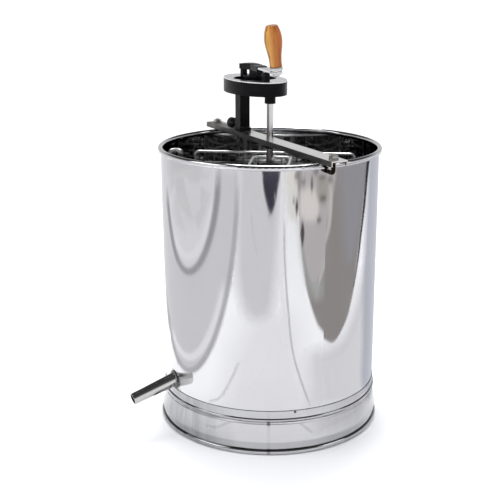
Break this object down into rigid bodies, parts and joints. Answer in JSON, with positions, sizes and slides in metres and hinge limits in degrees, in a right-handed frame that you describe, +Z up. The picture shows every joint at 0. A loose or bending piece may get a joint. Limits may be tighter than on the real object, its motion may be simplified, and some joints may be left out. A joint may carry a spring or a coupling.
{
  "type": "honey extractor",
  "caption": "Hand-cranked tangential honey extractor: polished steel drum with a spout, crossbar, black geared head with a leaning wooden grip, and a wire basket that spins.",
  "frame": {"origin": "on the drum's axis in the plane of the base ring it stands on", "axes": "+Z up along the drum's and the basket shaft's axis; the crossbar lies along X with the gear housing on the -X side; the outlet points along -Y"},
  "size_m": [0.454, 0.4703, 0.705],
  "materials": {
    "polished_stainless": "bright polished",
    "zinc_steel": "bright zinc plated",
    "black_enamel": "glossy black enamel on cast iron",
    "plate_metal": "polished",
    "bronze": "satin bronze",
    "black_knob": "glossy",
    "lacquered_wood": "clear lacquer",
    "basket_wire": "tinned wire"
  },
  "bodies": {
    "drum": {"drum_shell": "polished_stainless", "rim_wire": "zinc_steel", "drum_bottom": "polished_stainless", "base_skirt": "polished_stainless", "skirt_rivets": "polished_stainless", "outlet_spout": "polished_stainless", "pivot_cup": "bronze", "pivot_ball": "zinc_steel", "crossbar": "zinc_steel", "bar_bush": "zinc_steel", "hook_bolts": "zinc_steel", "hook_washers": "zinc_steel", "hook_nuts": "zinc_steel", "post_spigot": "zinc_steel", "gear_bracket": "black_enamel", "cover_plate": "plate_metal", "cover_screws": "zinc_steel", "oil_lug": "black_enamel", "lug_screw": "zinc_steel", "housing_bush": "bronze", "gear_axle": "zinc_steel", "axle_washer": "zinc_steel", "axle_screw": "zinc_steel"},
    "thumb_screw": {"thumb_screw": "black_knob"},
    "crank": {"crank_gear": "black_enamel", "gear_bush": "bronze", "crank_yoke": "black_enamel", "yoke_screws": "zinc_steel", "crank_arm": "zinc_steel", "arm_pin": "zinc_steel", "grip_collar": "zinc_steel", "grip_spindle": "zinc_steel", "spindle_nut": "zinc_steel"},
    "grip": {"wood_grip": "lacquered_wood", "grip_sleeve": "bronze", "grip_ferrule": "zinc_steel"},
    "basket": {"basket_shaft": "zinc_steel", "pinion": "zinc_steel", "pinion_key": "zinc_steel", "top_hub": "basket_wire", "bottom_hub": "basket_wire", "hub_screws": "zinc_steel", "core_rings": "basket_wire", "core_uprights": "basket_wire", "panel_frame_a": "basket_wire", "panel_frame_b": "basket_wire", "panel_mesh_a": "basket_wire", "panel_mesh_b": "basket_wire", "end_ties": "basket_wire", "spoke_wires": "basket_wire", "floor_wires": "basket_wire"}
  },
  "joints": [
    {"name": "basket_spin", "type": "hinge", "parent": "drum", "child": "basket", "pos_m": [0, 0, 0.1], "axis": [0, 0, 1], "continuous": true},
    {"name": "crank_spin", "type": "hinge", "parent": "drum", "child": "crank", "pos_m": [-0.056, 0, 0.596], "axis": [0, 0, 1], "continuous": true},
    {"name": "grip_spin", "type": "hinge", "parent": "crank", "child": "grip", "pos_m": [0.05273, -0.01664, 0.6266], "axis": [-0.0184, -0.1205, 0.9925], "continuous": true},
    {"name": "thumb_turn", "type": "hinge", "parent": "drum", "child": "thumb_screw", "pos_m": [-0.1045, 0, 0.5173], "axis": [-0.9659, -0.2588, 0], "continuous": true}
  ],
  "couplings": [
    {"joint": "crank_spin", "follows": "basket_spin", "ratio": -0.33333}
  ]
}
